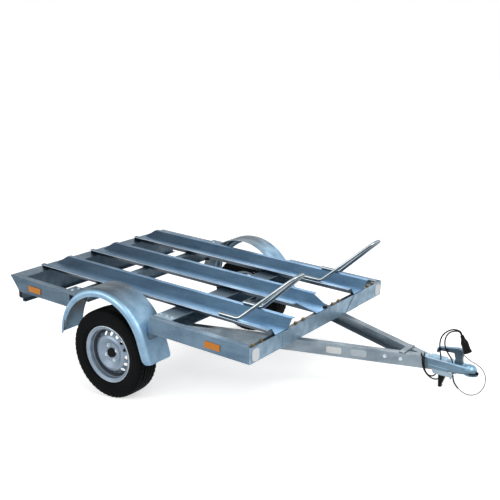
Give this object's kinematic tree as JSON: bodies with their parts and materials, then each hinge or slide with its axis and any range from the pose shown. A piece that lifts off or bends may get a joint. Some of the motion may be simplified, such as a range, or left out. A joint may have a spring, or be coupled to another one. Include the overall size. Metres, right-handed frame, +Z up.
{
  "type": "motorcycle trailer",
  "caption": "Flat trailer for motorcycles: folded-steel bed with wheel rails, front-wheel hoops, V drawbar with ball coupling, axle and wheels under round mudguards",
  "frame": {"origin": "on the ground, under the middle of the trailer's length and width, cords left out", "axes": "+Z up, +X forward along the ground towards the coupling, +Y to the trailer's left"},
  "size_m": [3.0044, 1.666, 0.7987],
  "materials": {
    "galvanised": "hot-dip galvanised, satin",
    "wheel_steel": "silver paint, satin",
    "tyre": "matt",
    "hub": "dull",
    "black": "matt",
    "amber": "gloss",
    "white_reflector": "gloss",
    "red_lens": "gloss",
    "wire": "twisted steel",
    "zinc": "bright zinc plate"
  },
  "bodies": {
    "chassis": {"axle_beam": "galvanised", "breakaway_wire": "wire", "cable_a": "black", "cable_b": "black", "coupling_body": "galvanised", "coupling_bracket": "galvanised", "coupling_handle": "zinc", "coupling_nose_trim": "black", "drawbar_gussets": "galvanised", "drawbar_left": "galvanised", "drawbar_right": "galvanised", "drawbar_tie": "galvanised", "front_cross_member": "galvanised", "front_reflectors": "white_reflector", "lamp_housings": "black", "mid_cross_member_front": "galvanised", "mid_cross_member_rear": "galvanised", "mudguard_brackets": "galvanised", "mudguard_left": "galvanised", "mudguard_right": "galvanised", "parking_foot": "black", "plug": "black", "rail_centre": "galvanised", "rail_left": "galvanised", "rail_right": "galvanised", "rail_stops": "black", "rear_beam": "galvanised", "rear_lenses": "red_lens", "side_member_front_left": "galvanised", "side_member_front_right": "galvanised", "side_member_rear_left": "galvanised", "side_member_rear_right": "galvanised", "side_reflectors": "amber", "trailing_arm_left": "galvanised", "trailing_arm_right": "galvanised", "wheel_hoop_left": "galvanised", "wheel_hoop_right": "galvanised"},
    "wheel_left": {"hub_left": "hub", "rim_left": "wheel_steel", "tyre_left": "tyre"},
    "wheel_right": {"hub_right": "hub", "rim_right": "wheel_steel", "tyre_right": "tyre"}
  },
  "joints": [
    {"name": "wheel_left_spin", "type": "hinge", "parent": "chassis", "child": "wheel_left", "pos_m": [-0.61775, 0.738, 0.289], "axis": [0, 1, 0], "continuous": true},
    {"name": "wheel_right_spin", "type": "hinge", "parent": "chassis", "child": "wheel_right", "pos_m": [-0.61775, -0.738, 0.289], "axis": [0, 1, 0], "continuous": true}
  ]
}
